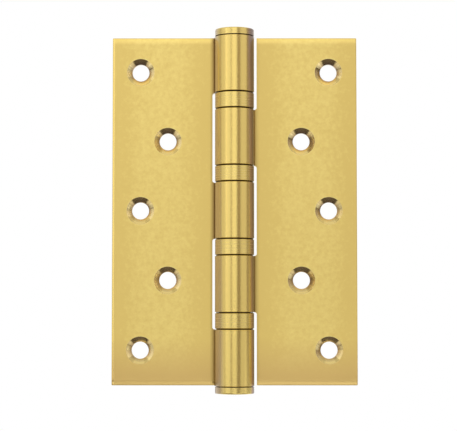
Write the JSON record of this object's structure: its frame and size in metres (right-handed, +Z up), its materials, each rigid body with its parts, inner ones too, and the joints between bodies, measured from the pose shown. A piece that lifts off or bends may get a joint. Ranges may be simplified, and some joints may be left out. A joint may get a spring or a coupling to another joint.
{
  "type": "ball bearing butt hinge",
  "caption": "Butt hinge of satin brass: two countersunk leaves with rolled knuckles on a fixed pin, ball thrust bearings between the knuckles and a button tip at each end of the barrel.",
  "frame": {"origin": "middle of the pin axis, which is also the centre of the hinge's box when it is opened flat", "axes": "+Z up along the pin, +X towards the leaf with two knuckles, -Y out of the countersunk faces"},
  "size_m": [0.0894, 0.0142, 0.1336],
  "materials": {
    "leaf_brass": "satin",
    "turned_brass": "fine turned",
    "pin_steel": "ground",
    "race_steel": "hardened and ground",
    "ball_steel": "polished"
  },
  "bodies": {
    "frame_side": {"frame_leaf": "leaf_brass", "hinge_pin": "pin_steel", "top_tip": "turned_brass", "bottom_tip": "turned_brass", "bearing_1_shell": "turned_brass", "bearing_2_shell": "turned_brass", "bearing_3_shell": "turned_brass", "bearing_4_shell": "turned_brass", "bearing_1_upper_race": "race_steel", "bearing_2_lower_race": "race_steel", "bearing_3_upper_race": "race_steel", "bearing_4_lower_race": "race_steel"},
    "door_side": {"door_leaf": "leaf_brass", "bearing_1_lower_race": "race_steel", "bearing_2_upper_race": "race_steel", "bearing_3_lower_race": "race_steel", "bearing_4_upper_race": "race_steel"},
    "ball_ring_1": {"bearing_1_balls": "ball_steel"},
    "ball_ring_2": {"bearing_2_balls": "ball_steel"},
    "ball_ring_3": {"bearing_3_balls": "ball_steel"},
    "ball_ring_4": {"bearing_4_balls": "ball_steel"}
  },
  "joints": [
    {"name": "leaf_swing", "type": "hinge", "parent": "frame_side", "child": "door_side", "pos_m": [0, 0, 0], "axis": [0, 0, -1], "range_deg": [-120, 180]},
    {"name": "ball_ring_1_orbit", "type": "hinge", "parent": "frame_side", "child": "ball_ring_1", "pos_m": [0, 0, 0.04013], "axis": [0, 0, -1], "range_deg": [-60, 90]},
    {"name": "ball_ring_2_orbit", "type": "hinge", "parent": "frame_side", "child": "ball_ring_2", "pos_m": [0, 0, 0.01337], "axis": [0, 0, -1], "range_deg": [-60, 90]},
    {"name": "ball_ring_3_orbit", "type": "hinge", "parent": "frame_side", "child": "ball_ring_3", "pos_m": [0, 0, -0.01337], "axis": [0, 0, -1], "range_deg": [-60, 90]},
    {"name": "ball_ring_4_orbit", "type": "hinge", "parent": "frame_side", "child": "ball_ring_4", "pos_m": [0, 0, -0.04013], "axis": [0, 0, -1], "range_deg": [-60, 90]}
  ],
  "couplings": [
    {"joint": "ball_ring_1_orbit", "follows": "leaf_swing", "ratio": 0.5},
    {"joint": "ball_ring_2_orbit", "follows": "leaf_swing", "ratio": 0.5},
    {"joint": "ball_ring_3_orbit", "follows": "leaf_swing", "ratio": 0.5},
    {"joint": "ball_ring_4_orbit", "follows": "leaf_swing", "ratio": 0.5}
  ]
}
